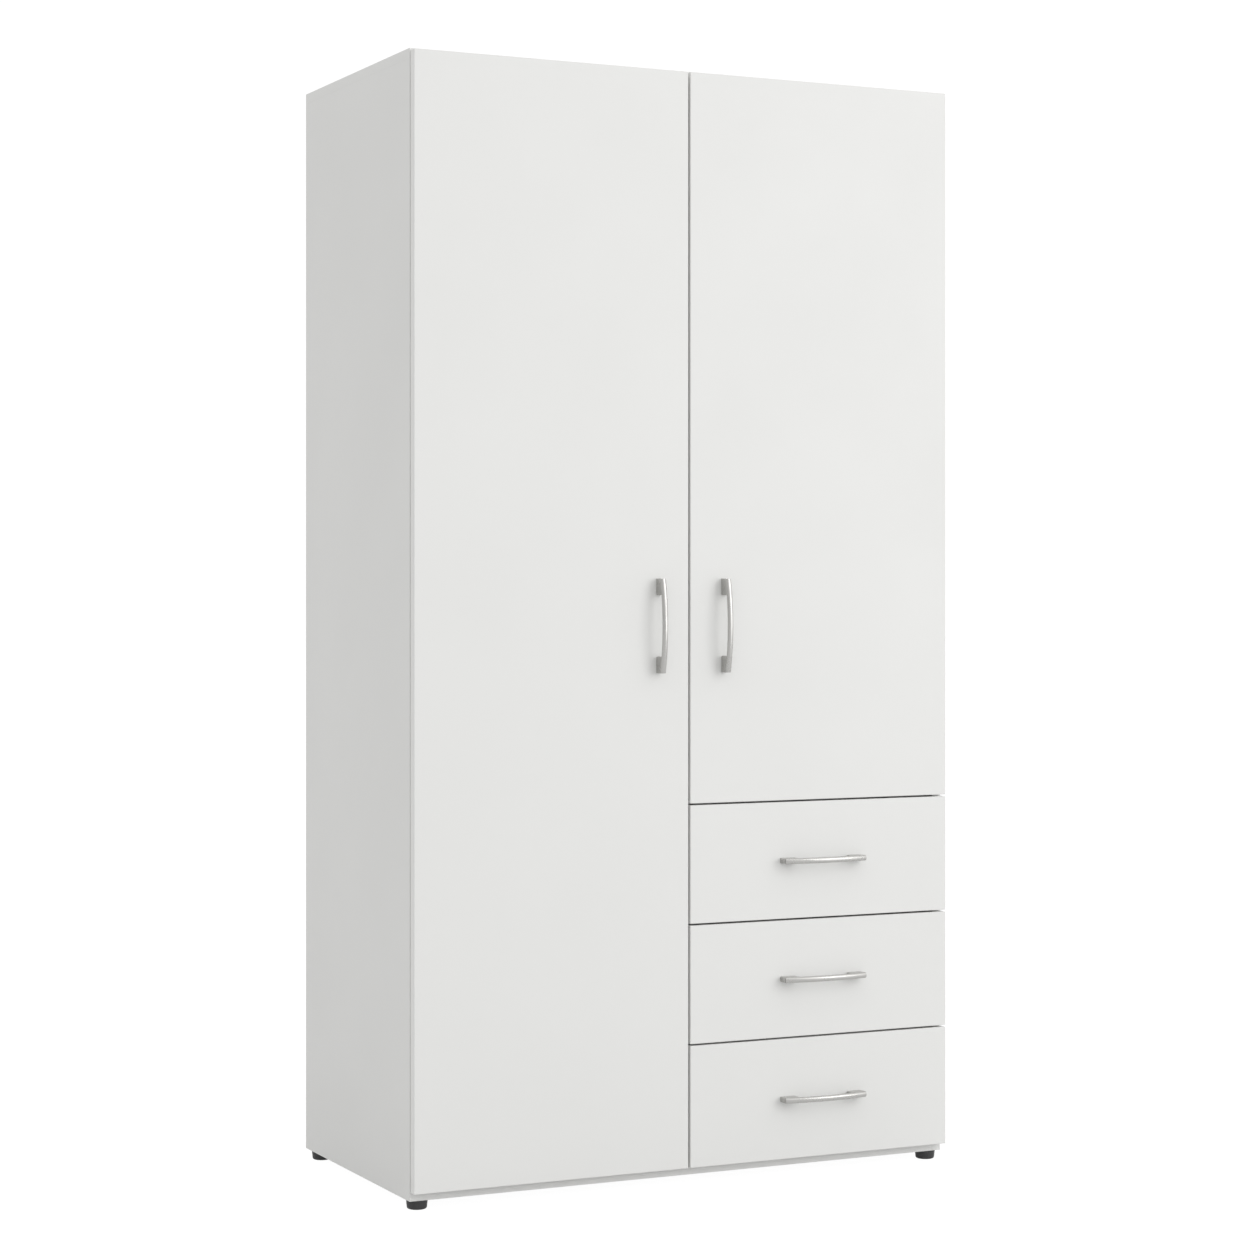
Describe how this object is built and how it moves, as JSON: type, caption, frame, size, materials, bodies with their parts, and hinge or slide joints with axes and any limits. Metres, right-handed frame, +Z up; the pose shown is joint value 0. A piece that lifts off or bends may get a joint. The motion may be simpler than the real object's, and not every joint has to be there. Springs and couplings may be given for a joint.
{
  "type": "wardrobe",
  "caption": "Free-standing white wardrobe with a tall hinged door on the left, a shorter door on the right over stacked drawers, bow handles, and short round feet.",
  "frame": {"origin": "on the floor, at the middle of the outer box", "axes": "+Z up; the fronts face -Y; +X is to the right of someone who looks at the fronts"},
  "size_m": [0.96, 0.528, 1.8],
  "materials": {
    "white_board": "fine-textured white melamine on particle board with matching edge band",
    "back_board": "thin hardboard, white lacquer on the inside",
    "handle_metal": "satin nickel plate",
    "hinge_steel": "nickel-plated pressed steel",
    "fastener_steel": "zinc-plated steel",
    "cam_zinc": "die-cast zinc",
    "rail_metal": "bright chrome-plated tube",
    "runner_metal": "white powder-coated sheet steel",
    "clear_plastic": "soft translucent bumper",
    "black_plastic": "moulded black plastic",
    "dowel_wood": "plain beech"
  },
  "bodies": {
    "carcass": {"side_panel_left": "white_board", "side_panel_right": "white_board", "top_panel": "white_board", "bottom_panel": "white_board", "divider_panel": "white_board", "back_panel_left": "back_board", "back_panel_right": "back_board", "back_panel_nails": "fastener_steel", "hat_shelf": "white_board", "drawer_top_shelf": "white_board", "adjustable_shelf_1": "white_board", "adjustable_shelf_2": "white_board", "shelf_pins": "fastener_steel", "clothes_rail": "rail_metal", "rail_brackets": "rail_metal", "cam_fittings": "cam_zinc", "dowels": "dowel_wood", "carcass_screws": "fastener_steel", "hinge_plates": "hinge_steel", "hinge_arms": "hinge_steel", "runners_left": "runner_metal", "runners_right": "runner_metal", "door_bumpers": "clear_plastic", "wall_brackets": "fastener_steel", "feet": "black_plastic"},
    "door_left": {"door_left": "white_board", "door_left_handle": "handle_metal", "door_left_hinge_cups": "hinge_steel", "door_left_screws": "fastener_steel"},
    "hinge_links_left": {"hinge_links_left": "hinge_steel"},
    "door_right": {"door_right": "white_board", "door_right_handle": "handle_metal", "door_right_hinge_cups": "hinge_steel", "door_right_screws": "fastener_steel"},
    "hinge_links_right": {"hinge_links_right": "hinge_steel"},
    "drawer_1": {"drawer_1_front": "white_board", "drawer_1_side_left": "white_board", "drawer_1_side_right": "white_board", "drawer_1_back": "white_board", "drawer_1_bottom": "back_board", "drawer_1_runners": "runner_metal", "drawer_1_handle": "handle_metal", "drawer_1_fixings": "fastener_steel"},
    "drawer_2": {"drawer_2_front": "white_board", "drawer_2_side_left": "white_board", "drawer_2_side_right": "white_board", "drawer_2_back": "white_board", "drawer_2_bottom": "back_board", "drawer_2_runners": "runner_metal", "drawer_2_handle": "handle_metal", "drawer_2_fixings": "fastener_steel"},
    "drawer_3": {"drawer_3_front": "white_board", "drawer_3_side_left": "white_board", "drawer_3_side_right": "white_board", "drawer_3_back": "white_board", "drawer_3_bottom": "back_board", "drawer_3_runners": "runner_metal", "drawer_3_handle": "handle_metal", "drawer_3_fixings": "fastener_steel"}
  },
  "joints": [
    {"name": "door_left_hinge", "type": "hinge", "parent": "carcass", "child": "door_left", "pos_m": [-0.4735, -0.233, 0.9], "axis": [0, 0, -1], "range_deg": [0, 95]},
    {"name": "hinge_links_left_pivot", "type": "hinge", "parent": "door_left", "child": "hinge_links_left", "pos_m": [-0.46982, -0.22589, 0.9], "axis": [0, 0, 1], "range_deg": [0, 132]},
    {"name": "door_right_hinge", "type": "hinge", "parent": "carcass", "child": "door_right", "pos_m": [0.4735, -0.233, 1.2], "axis": [0, 0, 1], "range_deg": [0, 95]},
    {"name": "hinge_links_right_pivot", "type": "hinge", "parent": "door_right", "child": "hinge_links_right", "pos_m": [0.46982, -0.22589, 1.2], "axis": [0, 0, -1], "range_deg": [0, 132]},
    {"name": "drawer_1_slide", "type": "slide", "parent": "carcass", "child": "drawer_1", "axis": [0, -1, 0], "range_m": [0, 0.33]},
    {"name": "drawer_2_slide", "type": "slide", "parent": "carcass", "child": "drawer_2", "axis": [0, -1, 0], "range_m": [0, 0.33]},
    {"name": "drawer_3_slide", "type": "slide", "parent": "carcass", "child": "drawer_3", "axis": [0, -1, 0], "range_m": [0, 0.33]}
  ],
  "couplings": [
    {"joint": "hinge_links_left_pivot", "follows": "door_left_hinge", "ratio": 1.38},
    {"joint": "hinge_links_right_pivot", "follows": "door_right_hinge", "ratio": 1.38}
  ]
}
